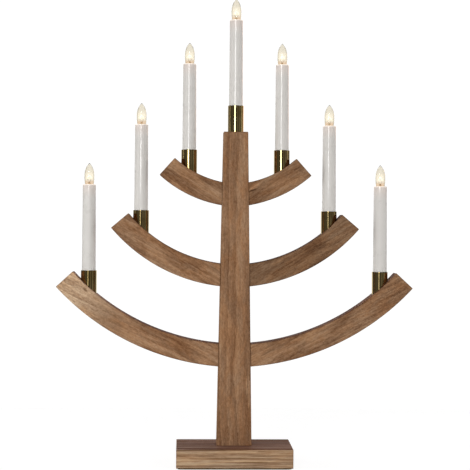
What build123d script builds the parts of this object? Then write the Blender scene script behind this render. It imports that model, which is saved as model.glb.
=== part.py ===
from build123d import *
import os
from dataclasses import dataclass
from math import asin, cos, degrees, hypot, radians, sin, tan

# A seven-light candlestick: a tapering wooden post on a block, three pairs of curved
# arms, and an electric candle in a brass cup on the post and on every arm.
# Millimetres. X runs to the right, Y to the back and Z up. The origin lies on the
# table, under the middle of the base.

# Base block, with felt under it
base_width = 148.0
base_depth = 95.0
base_height = 24.0
felt_thickness = 1.5
felt_inset = 1.5

# Post, a board that narrows towards the top
post_height = 402.5
post_thickness = 28.0
post_foot_width = 45.0
post_top_width = 31.5
edge_round = 0.8

# Arms, cut from rings whose centres lie a little past the post's middle line.
# The upper candles stand out from the middle of the post, and each pair below stands
# a step further out. A tip reaches past its candle, a drop is counted from the post's
# top to the arm's lowest point, and a span from straight below the centre to the tip.
arm_width = 29.0
upper_candle_across = 59.7
upper_tip_reach = 37.7
upper_drop = 96.1
upper_centre_shift = 8.4
upper_span = 41.8
upper_seat_depth = 15.2
middle_candle_step = 61.4
middle_tip_reach = 38.0
middle_drop = 199.5
middle_centre_shift = 4.2
middle_span = 49.6
middle_seat_depth = 19.5
lower_candle_step = 66.6
lower_tip_reach = 41.2
lower_drop = 302.0
lower_centre_shift = 4.4
lower_span = 47.3
lower_seat_depth = 19.2
post_seat_depth = 6.0

# Dowels between the arms and the post, and screws between the post and the base
dowel_diameter = 6.0
dowel_spacing = 13.0
dowel_in_post = 12.0
dowel_in_arm = 18.0
screw_spacing = 24.0
screw_length = 45.0
screw_shank_diameter = 4.5
screw_head_diameter = 9.0
screw_head_height = 2.5
screw_recess = 9.0
screw_tip = 4.0

# Wire grooves in the back of the wood, their cover strips and the wires
groove_width = 7.0
groove_depth = 8.0
groove_web = 1.2
cover_thickness = 3.0
wire_diameter = 1.8
wire_lane = 1.4
wire_floor_gap = 0.2
wire_bend = 3.0
wire_hole = 6.0
arm_steps = 5

# Recess under the base, with the terminal block and the cord inlet
recess_width = 40.0
recess_depth = 14.0
back_wall = 8.0
terminal_width = 20.0
terminal_length = 12.0
terminal_plate = 3.0
terminal_barrel = 8.0
terminal_sink = 2.0
terminal_pitch = 10.0
terminal_lead = 4.0
cord_room = 8.0
cord_bore = 6.0
grommet_wall = 2.0
flange_width = 2.0
flange_thickness = 2.0
inlet_web = 2.0

# Candle: brass cup and tapered tube with an inward lip at its mouth
cup_length = 40.0
cup_wall = 0.8
cup_floor = 1.0
tube_length = 149.5
tube_foot_diameter = 18.4
tube_top_diameter = 17.0
tube_bore = 14.4
tube_lip = 1.5
tube_edge = 0.4
mouth_gap = 0.8

# Socket inside the tube: lampholder body, thread shell and centre contact
holder_floor = 3.0
shell_length = 12.0
shell_wall = 0.4
rivet_diameter = 2.0
rivet_head_diameter = 5.0
rivet_head = 0.8

# Bulb: screw cap, contact, glass and filament mount
cap_diameter = 9.5
cap_length = 10.0
cap_wall = 0.4
cap_flange = 0.5
thread_pitch = 1.814
thread_depth = 0.45
thread_turns = 4
button_diameter = 3.6
button_height = 1.2
button_head_diameter = 6.0
button_head = 1.0
neck_depth = 5.0
glass_wall = 0.5
glass_tip_wall = 1.5
throat_diameter = 11.0
belly_diameter = 13.9
belly_rise = 10.0
bulb_rise = 27.4
shoulder_rise = 9.0
tip_shoulder_diameter = 7.8
tip_shoulder_drop = 3.4
mount_flare = 1.0
stem_diameter = 2.4
stem_rise = 3.0
lead_diameter = 0.5
lead_sink = 1.0
lead_spread = 2.6
filament_rise = 7.0
filament_height = 4.0
filament_bend = 0.5

# Clearances, each on a radius or on one side
fit_gap = 0.05
wood_gap = 0.1
cover_gap = 0.15
tube_gap = 0.2
holder_gap = 0.1
cap_gap = 0.25
neck_gap = 0.1
dowel_end_gap = 0.5

# A route's arcs take this share of the shorter run beside a corner
corner_share = 0.45
sharp_turn = 45.0

# Levels of the wood
base_top = felt_thickness + base_height
post_top = base_top + post_height
post_lean = (post_foot_width - post_top_width) / 2 / post_height
back_face = post_thickness / 2
groove_floor = back_face - groove_depth
wire_plane = groove_floor + wire_floor_gap + wire_diameter / 2
solid_middle = -groove_depth / 2

# Radii and levels of a candle, counted from the seat of its cup
cup_bore = tube_foot_diameter / 2 + tube_gap
cup_radius = cup_bore + cup_wall
rim = cup_floor + tube_length
mouth_radius = throat_diameter / 2 + mouth_gap
holder_top = rim - tube_lip
shell_foot = holder_top - shell_length
holder_foot = shell_foot - holder_floor
holder_radius = tube_bore / 2 - holder_gap
shell_bore = cap_diameter / 2 + cap_gap
shell_radius = shell_bore + shell_wall
contact_top = shell_foot + rivet_head
cap_foot = contact_top + button_height
cap_top = cap_foot + cap_length
cap_bore = cap_diameter / 2 - thread_depth - cap_wall
neck_radius = cap_bore - neck_gap
neck_foot = cap_top - neck_depth

# Levels and places in the base
recess_top = felt_thickness + recess_depth
recess_front = wire_plane - groove_width / 2
recess_back = base_depth / 2 - back_wall
grommet_radius = cord_bore / 2 + grommet_wall
flange_radius = grommet_radius + flange_width
inlet_height = felt_thickness + inlet_web + flange_radius
terminal_front = recess_back - cord_room - terminal_length
terminal_middle = recess_top - terminal_plate + terminal_sink - terminal_barrel / 2
screw_foot = felt_thickness + screw_recess

front_plane = Plane.XZ
back_plane = Plane.XZ.offset(-back_face)
base_back = Plane.XZ.offset(-base_depth / 2)
side_names = {-1: "left", 1: "right"}


@dataclass
class Candle:
    """A candle's name, its distance across from the post and the height of its cup's seat."""

    name: str
    across: float
    seat: float

    @property
    def groove_height(self):
        """Height at which the wire groove ends under the cup."""
        return self.seat - groove_web - groove_width / 2

    @property
    def section(self):
        """Plane of the half outlines that are turned about the candle's axis."""
        return Plane(origin=(self.across, 0, self.seat), x_dir=(1, 0, 0), z_dir=(0, -1, 0))

    @property
    def axis(self):
        return Axis((self.across, 0, self.seat), (0, 0, 1))


@dataclass
class Tier:
    """A pair of arms cut from one ring size; angles count from straight below the centre."""

    name: str
    candle_across: float
    tip_reach: float
    drop: float
    centre_shift: float
    span: float
    seat_depth: float

    @property
    def radius(self):
        """Outer radius, with which the span ends at the tip."""
        return (self.candle_across + self.tip_reach + self.centre_shift) / sin(radians(self.span))

    @property
    def inner_radius(self):
        return self.radius - arm_width

    @property
    def centre_height(self):
        return post_top - self.drop + self.radius

    @property
    def groove_radius(self):
        """Radius of the groove's middle line, which passes close below the cup's seat."""
        candle = self.candle(1)
        return hypot(candle.across + self.centre_shift, self.centre_height - candle.groove_height)

    @property
    def joint_angle(self):
        """Angle at which the middle of the arm meets the side of the post."""
        middle = self.radius - arm_width / 2
        return self.angle_at(half_width(self.centre_height - middle), middle)

    def point(self, side, radius, angle):
        """Place, across and up, on a circle about the ring's centre."""
        across = side * (radius * sin(radians(angle)) - self.centre_shift)
        return across, self.centre_height - radius * cos(radians(angle))

    def angle_at(self, reach, radius):
        """Angle at which a circle lies the given distance from the post's middle line."""
        return degrees(asin((reach + self.centre_shift) / radius))

    def arc(self, side, radius, start, end):
        """Arc about the ring's centre between two angles."""
        centre = (-side * self.centre_shift, self.centre_height)
        return CenterArc(centre, radius, side * start - 90, side * (end - start))

    def candle(self, side):
        cup_angle = self.angle_at(self.candle_across, self.inner_radius)
        across, surface = self.point(side, self.inner_radius, cup_angle)
        return Candle(f"{self.name}_{side_names[side]}", across, surface - self.seat_depth)


def half_width(height):
    """Half the post's width at a height above the table."""
    return post_foot_width / 2 - (height - base_top) * post_lean


middle_candle_across = upper_candle_across + middle_candle_step
lower_candle_across = middle_candle_across + lower_candle_step
tiers = [
    Tier("lower", lower_candle_across, lower_tip_reach, lower_drop,
         lower_centre_shift, lower_span, lower_seat_depth),
    Tier("middle", middle_candle_across, middle_tip_reach, middle_drop,
         middle_centre_shift, middle_span, middle_seat_depth),
    Tier("upper", upper_candle_across, upper_tip_reach, upper_drop,
         upper_centre_shift, upper_span, upper_seat_depth),
]
arms = [(tier, side) for tier in tiers for side in side_names]
top_candle = Candle("top", 0, post_top - post_seat_depth)
candles = [tier.candle(side) for tier, side in arms] + [top_candle]


def arm_slot(tier, side, width, depth):
    """Round-ended slot in the back of an arm, from the post's middle line to the cup."""
    radius = tier.groove_radius
    reach = abs(tier.candle(side).across)
    line = tier.arc(side, radius, tier.angle_at(0, radius), tier.angle_at(reach, radius))
    with BuildPart() as slot:
        with BuildSketch(back_plane):
            SlotArc(line, width)
        extrude(amount=depth)
    return slot.part


def post_slot(width, depth):
    """Slot in the back of the post, from its foot to a round end under the top cup."""
    slot_top = top_candle.groove_height
    with BuildPart() as slot:
        with BuildSketch(back_plane):
            with Locations((0, base_top)):
                Rectangle(width, slot_top - base_top, align=(Align.CENTER, Align.MIN))
            with Locations((0, slot_top)):
                Circle(width / 2)
        extrude(amount=depth)
    return slot.part


def candle_cuts(candle):
    """Bore for a cup, the wire hole under it and the pocket that joins it to the groove."""
    with BuildPart() as cuts:
        with BuildSketch(Plane.XY.offset(candle.seat)):
            with Locations((candle.across, 0)):
                Circle(cup_radius + wood_gap)
        extrude(amount=cup_length)
        with BuildSketch(Plane.XY.offset(candle.seat)):
            with Locations((candle.across, 0)):
                Circle(wire_hole / 2)
        extrude(amount=candle.groove_height - candle.seat)
        with BuildSketch(back_plane):
            with Locations((candle.across, candle.groove_height)):
                Circle(groove_width / 2)
        extrude(amount=back_face + groove_width / 2)
    return cuts.part


def dowel_pair(tier, side, gap, end_gap):
    """Two dowels along the arm's direction where it meets the post, or their holes."""
    middle = tier.radius - arm_width / 2
    angle = radians(tier.joint_angle)
    across, height = tier.point(side, middle, tier.joint_angle)
    joint = Plane(
        origin=(across, solid_middle, height),
        x_dir=(-side * sin(angle), 0, cos(angle)),
        z_dir=(side * cos(angle), 0, sin(angle)),
    )
    with BuildPart() as pair:
        with BuildSketch(joint.offset(-dowel_in_post - end_gap)):
            with GridLocations(dowel_spacing, 0, 2, 1):
                Circle(dowel_diameter / 2 + gap)
        extrude(amount=dowel_in_post + dowel_in_arm + 2 * end_gap)
    return pair.part


def screw_pair(gap):
    """The two countersunk screws from the base into the post, or their holes."""
    shank_radius = screw_shank_diameter / 2 + gap
    upright = (Align.CENTER, Align.CENTER, Align.MIN)
    half_spacing = screw_spacing / 2
    shank_top = screw_foot + screw_length - screw_tip
    with BuildPart() as pair:
        with Locations((-half_spacing, solid_middle, screw_foot), (half_spacing, solid_middle, screw_foot)):
            Cone(screw_head_diameter / 2 + gap, shank_radius, screw_head_height, align=upright)
            Cylinder(shank_radius, screw_length - screw_tip, align=upright)
        with Locations((-half_spacing, solid_middle, shank_top), (half_spacing, solid_middle, shank_top)):
            Cone(shank_radius, gap, screw_tip, align=upright)
    return pair.part


def grommet_blank(gap):
    """Flanged plug that fills the cord inlet, flush with the back of the base, or its seat."""
    with BuildPart() as blank:
        with BuildSketch(base_back):
            with Locations((0, inlet_height)):
                Circle(grommet_radius + gap)
        extrude(amount=back_wall)
        with BuildSketch(base_back):
            with Locations((0, inlet_height)):
                Circle(flange_radius + gap)
        extrude(amount=flange_thickness)
    return blank.part


def bend_radii(points):
    """The largest arc that fits each corner of a route, held to the wire's bend at sharp turns."""
    radii = []
    for before, corner, after in zip(points, points[1:], points[2:]):
        run_in = Vector(corner) - Vector(before)
        run_out = Vector(after) - Vector(corner)
        turn = run_in.get_angle(run_out)
        room = corner_share * min(run_in.length, run_out.length) / tan(radians(turn / 2))
        radii.append(min(room, wire_bend) if turn > sharp_turn else room)
    return radii


def lamp_drop(candle, lane):
    """Route from a lampholder down its tube and through the wood to the groove's plane."""
    across = candle.across + lane
    return [
        (across, 0, candle.seat + holder_foot),
        (across, 0, candle.groove_height),
        (across, wire_plane, candle.groove_height),
    ]


def arm_route(tier, side, lane):
    """Route from an arm's lampholder along one lane of its groove to the post's groove."""
    candle = tier.candle(side)
    radius = tier.groove_radius + lane
    across = abs(candle.across) + lane
    start = tier.angle_at(across, radius)
    end = tier.angle_at(wire_lane, radius)
    route = [
        (side * across, 0, candle.seat + holder_foot),
        (side * across, 0, tier.point(side, radius, start)[1]),
    ]
    for step in range(arm_steps + 1):
        place = tier.point(side, radius, start + (end - start) * step / arm_steps)
        route.append((place[0], wire_plane, place[1]))
    return route


def base_route(side):
    """Route from the terminal block in the base to the lane at the post's foot."""
    pole = side * terminal_pitch / 2
    return [
        (pole, terminal_front, terminal_middle),
        (pole, terminal_front - terminal_lead, terminal_middle),
        (side * wire_lane, wire_plane, terminal_middle),
    ]


def wire_routes():
    """The series circuit: on each side a wire from the base to the lowest lamp, then lamp to lamp."""
    routes = []
    for side in side_names:
        start = base_route(side)
        for tier in tiers:
            routes.append(start + arm_route(tier, side, wire_lane)[::-1])
            start = arm_route(tier, side, -wire_lane)
        routes.append(start + lamp_drop(top_candle, side * wire_lane)[::-1])
    return routes


def bulb_outline(inset, tip):
    """Half outline of a bulb from its neck over throat and belly to the pointed tip on the axis."""
    neck = Line((neck_radius - inset, neck_foot), (neck_radius - inset, cap_top))
    throat = Line(neck @ 1, (throat_diameter / 2 - inset, rim))
    belly = (belly_diameter / 2 - inset, rim + belly_rise)
    TangentArc(belly, throat @ 1, tangent=(0, -1))
    shoulder = (belly[0], belly[1] + shoulder_rise)
    tip_shoulder = (tip_shoulder_diameter / 2 - inset, tip - tip_shoulder_drop)
    flame = Bezier(belly, shoulder, tip_shoulder, (0, tip))
    Polyline(flame @ 1, (0, neck_foot), neck @ 0)


os.makedirs("parts", exist_ok=True)


def keep(builder, label):
    """Label a finished piece and write it to its own file."""
    builder.part.label = label
    export_step(builder.part, f"parts/{label}.step")


# Base block: recess and wire hole below, cord inlet behind, screws from below
inlet_seat = grommet_blank(wood_gap)
screw_holes = screw_pair(fit_gap)
with BuildPart() as base_block:
    with BuildSketch(Plane.XY.offset(felt_thickness)):
        Rectangle(base_width, base_depth)
    extrude(amount=base_height)
    fillet(base_block.edges() - base_block.edges().group_by(Axis.Z)[0], edge_round)
    with BuildSketch(Plane.XY.offset(felt_thickness)):
        with Locations((0, recess_front)):
            Rectangle(recess_width, recess_back - recess_front, align=(Align.CENTER, Align.MIN))
    extrude(amount=recess_depth, mode=Mode.SUBTRACT)
    with BuildSketch(Plane.XY.offset(felt_thickness)):
        with Locations((0, wire_plane)):
            Circle(groove_width / 2)
    extrude(amount=base_height, mode=Mode.SUBTRACT)
    with BuildSketch(Plane.XY.offset(felt_thickness)):
        with Locations((0, solid_middle)):
            with GridLocations(screw_spacing, 0, 2, 1):
                Circle(screw_head_diameter / 2 + fit_gap)
    extrude(amount=screw_recess, mode=Mode.SUBTRACT)
    add([inlet_seat, screw_holes], mode=Mode.SUBTRACT)
keep(base_block, "base_block")

# Felt sheet that the base rests on
with BuildPart() as base_felt:
    with BuildSketch():
        Rectangle(base_width - 2 * felt_inset, base_depth - 2 * felt_inset)
    extrude(amount=felt_thickness)
keep(base_felt, "base_felt")

# Grommet in the cord inlet
grommet_body = grommet_blank(0)
with BuildPart() as cord_grommet:
    add(grommet_body)
    with BuildSketch(base_back):
        with Locations((0, inlet_height)):
            Circle(cord_bore / 2)
    extrude(amount=back_wall, mode=Mode.SUBTRACT)
keep(cord_grommet, "cord_grommet")

# Terminal block: a plate under the recess's roof with two barrels for the wires
with BuildPart() as terminal_block:
    with BuildSketch(Plane.XZ.offset(-terminal_front - terminal_length)):
        with Locations((0, recess_top)):
            Rectangle(terminal_width, terminal_plate, align=(Align.CENTER, Align.MAX))
        for pole in side_names:
            with Locations((pole * terminal_pitch / 2, terminal_middle)):
                Circle(terminal_barrel / 2)
    extrude(amount=terminal_length)
keep(terminal_block, "terminal_block")

# Post: grooves behind, holes for dowels and screws, bore for the top cup
post_cuts = [post_slot(groove_width, groove_depth), candle_cuts(top_candle), screw_pair(fit_gap)]
post_cuts += [arm_slot(tier, side, groove_width, groove_depth) for tier, side in arms]
post_cuts += [dowel_pair(tier, side, fit_gap, dowel_end_gap) for tier, side in arms]
with BuildPart() as post:
    with BuildSketch(front_plane):
        with BuildLine():
            Polyline(
                (-post_foot_width / 2, base_top),
                (post_foot_width / 2, base_top),
                (post_top_width / 2, post_top),
                (-post_top_width / 2, post_top),
                close=True,
            )
        make_face()
    extrude(amount=post_thickness / 2, both=True)
    fillet(post.edges() - post.edges().group_by(Axis.Z)[0], edge_round)
    add(post_cuts, mode=Mode.SUBTRACT)
keep(post, "post")

# Screws that hold the post on the base
screws = screw_pair(0)
with BuildPart() as base_screws:
    add(screws)
keep(base_screws, "base_screws")

# Arms: ring segments with rounded edges, cut off along the side of the post
for tier, side in arms:
    arm_cuts = [
        arm_slot(tier, side, groove_width, groove_depth),
        candle_cuts(tier.candle(side)),
        dowel_pair(tier, side, fit_gap, dowel_end_gap),
    ]
    post_side = Plane(origin=(side * post_foot_width / 2, 0, base_top), z_dir=(side, 0, post_lean))
    with BuildPart() as arm:
        with BuildSketch(front_plane):
            with BuildLine():
                outer = tier.arc(side, tier.radius, 0, tier.span)
                inner = tier.arc(side, tier.inner_radius, 0, tier.span)
                Line(outer @ 0, inner @ 0)
                Line(outer @ 1, inner @ 1)
            make_face()
        extrude(amount=post_thickness / 2, both=True)
        fillet(arm.edges(), edge_round)
        split(bisect_by=post_side, keep=Keep.TOP)
        add(arm_cuts, mode=Mode.SUBTRACT)
    keep(arm, f"arm_{tier.name}_{side_names[side]}")

# Dowels between the arms and the post
dowel_bodies = [dowel_pair(tier, side, 0, 0) for tier, side in arms]
with BuildPart() as arm_dowels:
    add(dowel_bodies)
keep(arm_dowels, "arm_dowels")

# Cover strips, let into the grooves flush with the back
cover_width = groove_width - 2 * cover_gap
post_groove = post_slot(groove_width, groove_depth)
post_cover = post_slot(cover_width, cover_thickness)
arm_covers = [arm_slot(tier, side, cover_width, cover_thickness) for tier, side in arms]
with BuildPart() as groove_covers:
    add(arm_covers)
    add(post_groove, mode=Mode.SUBTRACT)
    add(post_cover)
keep(groove_covers, "groove_covers")

# Wires of the series circuit
with BuildPart() as wiring:
    for route in wire_routes():
        with BuildLine() as wire:
            FilletPolyline(*route, radius=bend_radii(route))
        with BuildSketch(Plane(wire.line ^ 0)):
            Circle(wire_diameter / 2)
        sweep(path=wire.line)
keep(wiring, "wiring")

# Brass cups and candle tubes
for candle in candles:
    with BuildPart() as cup:
        with BuildSketch(candle.section):
            with BuildLine():
                Polyline(
                    (wire_hole / 2, 0),
                    (cup_radius, 0),
                    (cup_radius, cup_length),
                    (cup_bore, cup_length),
                    (cup_bore, cup_floor),
                    (wire_hole / 2, cup_floor),
                    close=True,
                )
            make_face()
        revolve(axis=candle.axis)
    keep(cup, f"cup_{candle.name}")

    with BuildPart() as tube:
        with BuildSketch(candle.section):
            with BuildLine():
                Polyline(
                    (tube_bore / 2, cup_floor),
                    (tube_foot_diameter / 2, cup_floor),
                    (tube_top_diameter / 2, rim - tube_edge),
                    (tube_top_diameter / 2 - tube_edge, rim),
                    (mouth_radius, rim),
                    (mouth_radius, holder_top),
                    (tube_bore / 2, holder_top),
                    close=True,
                )
            make_face()
        revolve(axis=candle.axis)
    keep(tube, f"candle_tube_{candle.name}")

# Lampholder bodies inside the tubes, against the lips
with BuildPart() as lampholders:
    for candle in candles:
        with BuildSketch(candle.section):
            with BuildLine():
                Polyline(
                    (rivet_diameter / 2 + fit_gap, holder_foot),
                    (holder_radius, holder_foot),
                    (holder_radius, holder_top),
                    (shell_radius + fit_gap, holder_top),
                    (shell_radius + fit_gap, shell_foot),
                    (rivet_diameter / 2 + fit_gap, shell_foot),
                    close=True,
                )
            make_face()
        revolve(axis=candle.axis)
keep(lampholders, "lampholders")

# Thread shells of the sockets
with BuildPart() as socket_shells:
    for candle in candles:
        with BuildSketch(candle.section):
            with Locations((shell_bore, shell_foot)):
                Rectangle(shell_wall, shell_length, align=(Align.MIN, Align.MIN))
        revolve(axis=candle.axis)
keep(socket_shells, "socket_shells")

# Centre contacts of the sockets: rivets through the lampholders' floors
with BuildPart() as socket_contacts:
    for candle in candles:
        with BuildSketch(candle.section):
            with BuildLine():
                Polyline(
                    (0, holder_foot),
                    (rivet_diameter / 2, holder_foot),
                    (rivet_diameter / 2, shell_foot),
                    (rivet_head_diameter / 2, shell_foot),
                    (rivet_head_diameter / 2, contact_top),
                    (0, contact_top),
                    close=True,
                )
            make_face()
        revolve(axis=candle.axis)
keep(socket_contacts, "socket_contacts")

# Bulbs: contact button, ringed screw cap, glass and filament mount
for candle in candles:
    with BuildPart() as bulb_contact:
        with BuildSketch(candle.section):
            with BuildLine():
                Polyline(
                    (0, contact_top),
                    (button_diameter / 2, contact_top),
                    (button_diameter / 2, cap_foot + cap_flange),
                    (button_head_diameter / 2, cap_foot + cap_flange),
                    (button_head_diameter / 2, cap_foot + cap_flange + button_head),
                    (0, cap_foot + cap_flange + button_head),
                    close=True,
                )
            make_face()
        revolve(axis=candle.axis)
    keep(bulb_contact, f"bulb_contact_{candle.name}")

    with BuildPart() as bulb_cap:
        with BuildSketch(candle.section):
            with BuildLine():
                Polyline(
                    (button_diameter / 2 + cap_gap, cap_foot),
                    (cap_diameter / 2, cap_foot),
                    (cap_diameter / 2, cap_top),
                    (cap_bore, cap_top),
                    (cap_bore, cap_foot + cap_flange),
                    (button_diameter / 2 + cap_gap, cap_foot + cap_flange),
                    close=True,
                )
            make_face()
            for turn in range(thread_turns):
                with Locations((cap_diameter / 2, cap_foot + (turn + 1) * thread_pitch)):
                    Circle(thread_depth, mode=Mode.SUBTRACT)
        revolve(axis=candle.axis)
    keep(bulb_cap, f"bulb_cap_{candle.name}")

    with BuildPart() as bulb_glass:
        with BuildSketch(candle.section):
            with BuildLine():
                bulb_outline(0, rim + bulb_rise)
            make_face()
            with BuildLine():
                bulb_outline(glass_wall, rim + bulb_rise - glass_tip_wall)
            make_face(mode=Mode.SUBTRACT)
        revolve(axis=candle.axis)
    keep(bulb_glass, f"bulb_glass_{candle.name}")

    stem_top = rim + stem_rise
    filament_foot = rim + filament_rise
    filament_top = filament_foot + filament_height
    with BuildPart() as bulb_filament:
        with BuildLine(candle.section) as lead:
            FilletPolyline(
                (-stem_diameter / 4, stem_top - lead_sink),
                (-lead_spread, filament_foot),
                (-lead_spread / 2, filament_top),
                (0, filament_foot),
                (lead_spread / 2, filament_top),
                (lead_spread, filament_foot),
                (stem_diameter / 4, stem_top - lead_sink),
                radius=filament_bend,
            )
        with BuildSketch(Plane(lead.line ^ 0)):
            Circle(lead_diameter / 2)
        sweep(path=lead.line)
        with BuildSketch(candle.section):
            with BuildLine():
                Polyline(
                    (0, neck_foot),
                    (neck_radius - glass_wall - neck_gap, neck_foot),
                    (neck_radius - glass_wall - neck_gap, neck_foot + mount_flare),
                    (stem_diameter / 2, neck_foot + 2 * mount_flare),
                    (stem_diameter / 2, stem_top),
                    (0, stem_top),
                    close=True,
                )
            make_face()
        revolve(axis=candle.axis)
    keep(bulb_filament, f"bulb_filament_{candle.name}")
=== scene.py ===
"""Looks of the seven-light wooden candlestick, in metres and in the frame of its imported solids."""
import math

import bmesh
import bpy
import numpy as np
from mathutils import Matrix, Vector


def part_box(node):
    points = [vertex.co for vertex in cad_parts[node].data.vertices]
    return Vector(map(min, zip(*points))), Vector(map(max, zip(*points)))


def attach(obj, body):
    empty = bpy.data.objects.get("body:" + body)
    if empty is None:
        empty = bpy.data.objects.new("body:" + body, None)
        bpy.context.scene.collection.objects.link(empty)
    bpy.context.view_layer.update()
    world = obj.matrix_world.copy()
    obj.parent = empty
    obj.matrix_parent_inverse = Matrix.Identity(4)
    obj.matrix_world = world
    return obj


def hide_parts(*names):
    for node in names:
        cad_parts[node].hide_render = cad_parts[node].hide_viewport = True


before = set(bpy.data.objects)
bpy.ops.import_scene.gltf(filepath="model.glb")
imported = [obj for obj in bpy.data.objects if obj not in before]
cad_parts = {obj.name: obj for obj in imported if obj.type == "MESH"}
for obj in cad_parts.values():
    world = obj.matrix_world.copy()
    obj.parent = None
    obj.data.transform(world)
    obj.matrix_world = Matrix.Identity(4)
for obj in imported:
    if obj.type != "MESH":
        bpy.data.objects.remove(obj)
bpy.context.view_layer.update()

MM = 0.001
MERGE_GAP = 1e-7
BLACK, WHITE = (0.0, 0.0, 0.0, 1.0), (1.0, 1.0, 1.0, 1.0)

# Arms and candles, by the names that the solids have
ARMS = ("lower_left", "lower_right", "middle_left", "middle_right", "upper_left", "upper_right")
CANDLES = (*ARMS, "top")

# Cup and tube of a candle: heights above its seat and radii, in millimetres
CUP_HEIGHT, CUP_RADIUS, CUP_BORE, CUP_FLOOR = 40.0, 10.2, 9.4, 1.0
CUP_EDGE, CUP_FOOT_EDGE, CUP_WALL_FOOT, CUP_WALL_DROP = 0.35, 0.5, 0.7, 0.3
TUBE_FOOT, TUBE_RIM, TUBE_FOOT_RADIUS, TUBE_RIM_RADIUS = 1.0, 150.5, 9.2, 8.5
TUBE_BORE, MOUTH_RADIUS, LIP, RIM_ROUND, MOUTH_ROUND = 7.2, 6.3, 1.5, 0.6, 0.3

# Screw cap: its thread, the eye in its foot, the turn from foot to wall, its collar and its floor
CAP_FOOT, CAP_TOP, CAP_RADIUS, CAP_BORE = 139.0, 149.0, 4.75, 3.9
PITCH, THREAD_DEPTH, THREAD_RISE, THREAD_DROP, THREAD_FADE = 1.814, 0.32, 0.8, 0.3, 0.9
EYE_RADIUS, EYE_EDGE, EYE_LIFT = 1.9, 2.4, 0.1
TURN_START, TURN_END, TURN_LIFT = 0.8, 0.2, 0.3
COLLAR_INSET, COLLAR_HEIGHT = 0.1, 0.2
CAP_FLOOR, CAP_FLOOR_EYE = 1.2, 0.8

# Bulb's glass: rises are above the tube's rim
NECK_FOOT, NECK_RADIUS, THROAT_RADIUS, BELLY_RADIUS = 144.0, 3.8, 5.7, 6.4
BELLY_RISE, TIP_RISE, SHOULDER_RISE, TIP_SHOULDER, TIP_DROP = 10.0, 27.4, 9.0, 3.9, 3.4
GLASS_WALL, SOLID_TIP = 0.32, 1.4

# Filament mount: the stem with its domed top and flared foot, whose arcs start and end at angles in
# degrees, the lead wires and the coil
STEM_LIFT, STEM_RADIUS, STEM_RISE, DOME_DROP, DOME_START = 0.3, 1.2, 3.0, 1.0, 20
FLARE_RADIUS, FLARE_MIDDLE, FLARE_RISE, FLARE_BEND = 3.2, 3.4, 3.1, 2.2
FLARE_START, FLARE_END = 262, 182
LEAD_RADIUS, LEAD_START, LEAD_SPREAD, LEAD_RISE, LEAD_BOW = 0.16, 0.5, 2.6, 1.0, 1.6
COIL_FOOT, COIL_TOP, COIL_RADIUS, COIL_WIRE, COIL_TURNS = 7.0, 11.0, 0.42, 0.1, 34
STEM_FINISH, LEAD_FINISH, COIL_FINISH = 0, 1, 2

# How finely each curve is stepped
ROUND_STEPS, STEM_STEPS, WIRE_STEPS, COIL_WIRE_STEPS = 96, 28, 8, 6
EDGE_STEPS, CUP_RIM_STEPS, MOUTH_STEPS, TUBE_STEPS = 8, 7, 5, 24
FLAME_STEPS, THROAT_STEPS, CAP_STEPS = 40, 20, 90
FLARE_STEPS, DOME_STEPS, LEAD_STEPS, COIL_TURN_STEPS = 10, 6, 24, 14

# Felt sheet: how square its corners are, its soft edge and ragged cut as shares of its half size,
# the waves along the cut, and the rings of points that lie flat
FELT_POWER, FELT_EDGE, FELT_CUT, FELT_STEPS, FELT_EDGE_STEPS = 30, 0.011, 0.0012, 480, 13
FELT_WAVES, FELT_PHASE = (61, 23), 1
FELT_RINGS = (0.0, 0.45, 0.85, 0.97)

# Heights above a candle's seat between which a finish changes, in millimetres
# Painted light of the bulb on the tube's top, and the painted glow of its rim
TUBE_BULB_LIGHT = (130.0, 152.0)
RIM_GLOW = (TUBE_RIM - 1.6, TUBE_RIM - 0.4)
# Painted warm reflection and glow at the bulb's neck
NECK_PAINTED_GLOW = (TUBE_RIM + 6.5, TUBE_RIM + 2.5)
GLOW_START = (TUBE_RIM + 2.5, TUBE_RIM + 8.0)
GLOW_END = (TUBE_RIM + 19.0, TUBE_RIM + 12.0)
COIL_HEAT = (TUBE_RIM + COIL_FOOT - 1.0, TUBE_RIM + COIL_FOOT + 2.0)

# Depth of each finish's fine relief, in metres
WOOD_RELIEF, FELT_RELIEF, MOULDED_RELIEF = 0.00012, 0.0003, 0.00003
METAL_RELIEF, POLISHED_RELIEF, CANDLE_RELIEF = 0.00002, 0.000001, 0.000002


def tint(red, green, blue):
    """A colour given in 0 to 255 screen values, as the linear colour that a shader socket holds."""
    screen = np.array([red, green, blue]) / 255.0
    linear = np.where(screen <= 0.04045, screen / 12.92, ((screen + 0.055) / 1.055) ** 2.4)
    return (*linear.tolist(), 1.0)


def shaded(colour, share):
    """A colour made darker or lighter as a whole."""
    return tuple(share * part for part in colour[:3]) + (1.0,)


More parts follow.
